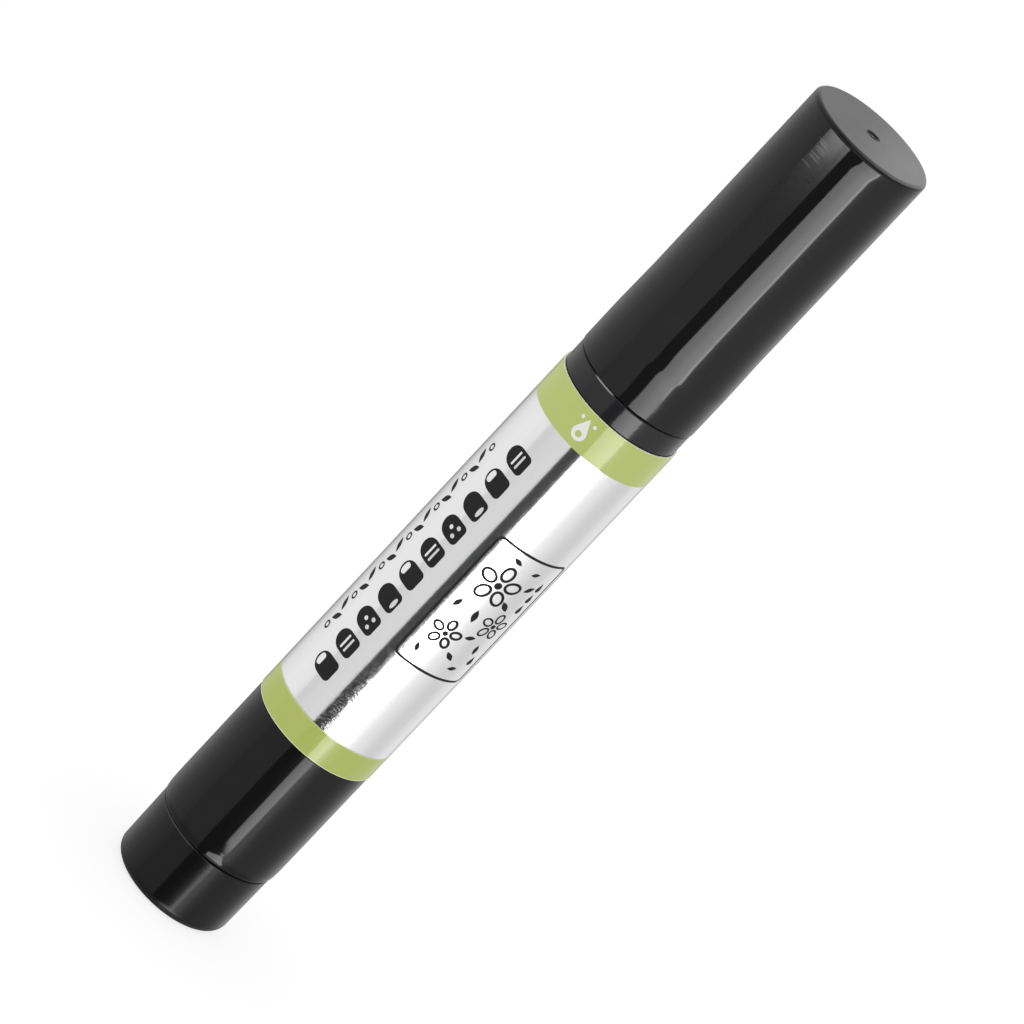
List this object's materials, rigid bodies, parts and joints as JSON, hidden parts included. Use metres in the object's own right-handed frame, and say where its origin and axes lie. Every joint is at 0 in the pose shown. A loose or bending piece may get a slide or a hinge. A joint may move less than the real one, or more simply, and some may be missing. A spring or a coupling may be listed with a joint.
{
  "type": "nail art pen",
  "caption": "Thick round pen for nail paint: snap-fit cap over a pointed brush, foil-wrapped tube, and a narrower end knob that clicks round to feed paint by a screw and piston.",
  "frame": {"origin": "centre of the twist knob's flat end, on which the pen stands", "axes": "+Z along the pen's axis from the knob to the cap; +X and +Y square to it, with the label's plain overlap seam facing +Y"},
  "size_m": [0.017, 0.017, 0.127],
  "materials": {
    "black_gloss_plastic": "glossy moulded black",
    "black_satin_plastic": "satin moulded black",
    "foil_label": "silver metallised film with fine grain, green bands at both ends",
    "natural_plastic": "uncoloured, slightly translucent",
    "white_plastic": "smooth white",
    "grey_plastic": "plain grey",
    "rubber": "soft black",
    "steel": "polished",
    "bristle": "fine nylon strands"
  },
  "bodies": {
    "barrel": {"barrel_tube": "black_gloss_plastic", "label_sleeve": "foil_label", "retainer_bush": "grey_plastic", "ratchet_ring": "grey_plastic", "guide_nut": "natural_plastic", "reservoir_plug": "natural_plastic", "plug_o_ring": "rubber", "feed_pipe": "steel", "front_collar": "black_gloss_plastic", "nose_cone": "white_plastic", "brush_ferrule": "steel", "brush_tuft": "bristle"},
    "cap": {"cap_shell": "black_gloss_plastic", "cap_liner": "natural_plastic"},
    "knob": {"twist_knob": "black_satin_plastic", "drive_sleeve": "white_plastic"},
    "spindle": {"lead_screw": "white_plastic"},
    "plunger": {"piston": "natural_plastic", "piston_o_ring": "rubber", "mixing_ball_1": "steel", "mixing_ball_2": "steel"}
  },
  "joints": [
    {"name": "cap_pull", "type": "slide", "parent": "barrel", "child": "cap", "axis": [0, 0, 1], "range_m": [0, 0.045]},
    {"name": "knob_twist", "type": "hinge", "parent": "barrel", "child": "knob", "pos_m": [0, 0, 0], "axis": [0, 0, 1], "range_deg": [0, 3240]},
    {"name": "spindle_feed", "type": "slide", "parent": "knob", "child": "spindle", "axis": [0, 0, 1], "range_m": [0, 0.027]},
    {"name": "piston_feed", "type": "slide", "parent": "barrel", "child": "plunger", "axis": [0, 0, 1], "range_m": [0, 0.027]}
  ],
  "couplings": [
    {"joint": "spindle_feed", "follows": "knob_twist", "m_per_rad": 0.00047746},
    {"joint": "piston_feed", "follows": "knob_twist", "m_per_rad": 0.00047746}
  ]
}
